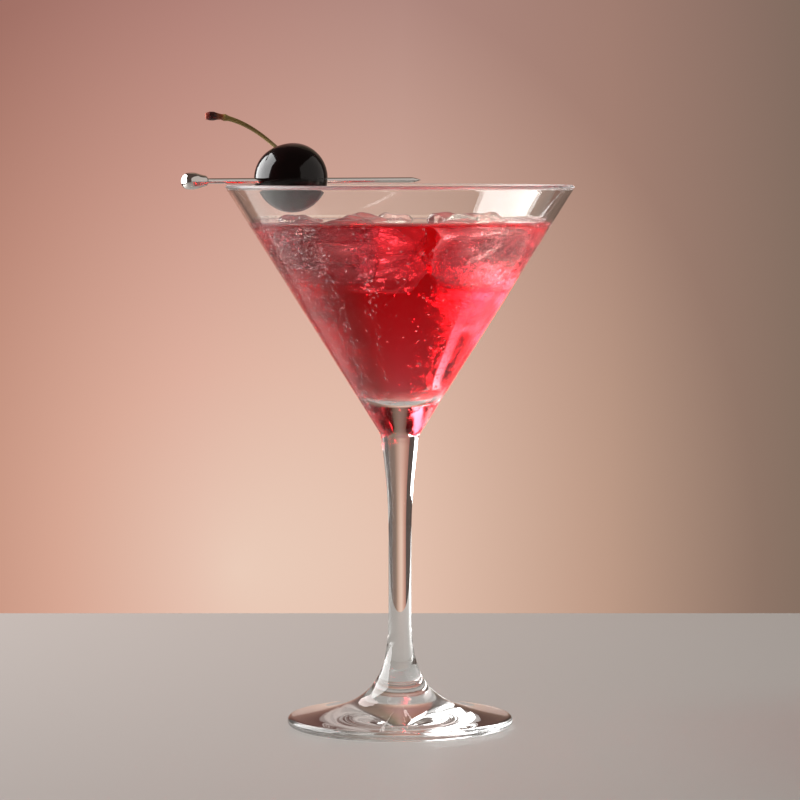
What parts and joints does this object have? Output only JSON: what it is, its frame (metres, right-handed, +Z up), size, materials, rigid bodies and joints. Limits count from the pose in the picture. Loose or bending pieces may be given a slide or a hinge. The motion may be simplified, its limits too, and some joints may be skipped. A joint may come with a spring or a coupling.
{
  "type": "red rum cocktail in a stemmed cocktail glass",
  "caption": "Red rum cocktail on ice in a conical stemmed glass, with a dark cherry on a steel pick that lies across the rim.",
  "frame": {"origin": "middle of the foot's flat underside, on the glass's own axis, at the level of the table", "axes": "+Z up along the glass's axis, -Y towards the viewer of the picture, and the pick's knob end at -X"},
  "size_m": [0.1235, 0.1112, 0.195],
  "materials": {
    "clear_glass": "polished, with fine condensation on the outside of the filled bowl",
    "red_drink": "clear deep red liquid",
    "ice": "wet, melted smooth, with bubbles and cracks inside",
    "cherry_skin": "dark, syrupy and very glossy",
    "cherry_stalk": "dry stalk, yellow green to brown",
    "steel": "polished stainless steel"
  },
  "bodies": {
    "root": {"glass": "clear_glass", "drink": "red_drink", "ice_front_left": "ice", "ice_under_cherry": "ice", "ice_middle": "ice", "ice_back": "ice", "ice_back_right": "ice", "ice_front_right": "ice", "cherry": "cherry_skin", "cherry_stalk": "cherry_stalk", "cocktail_pick": "steel"}
  },
  "joints": []
}
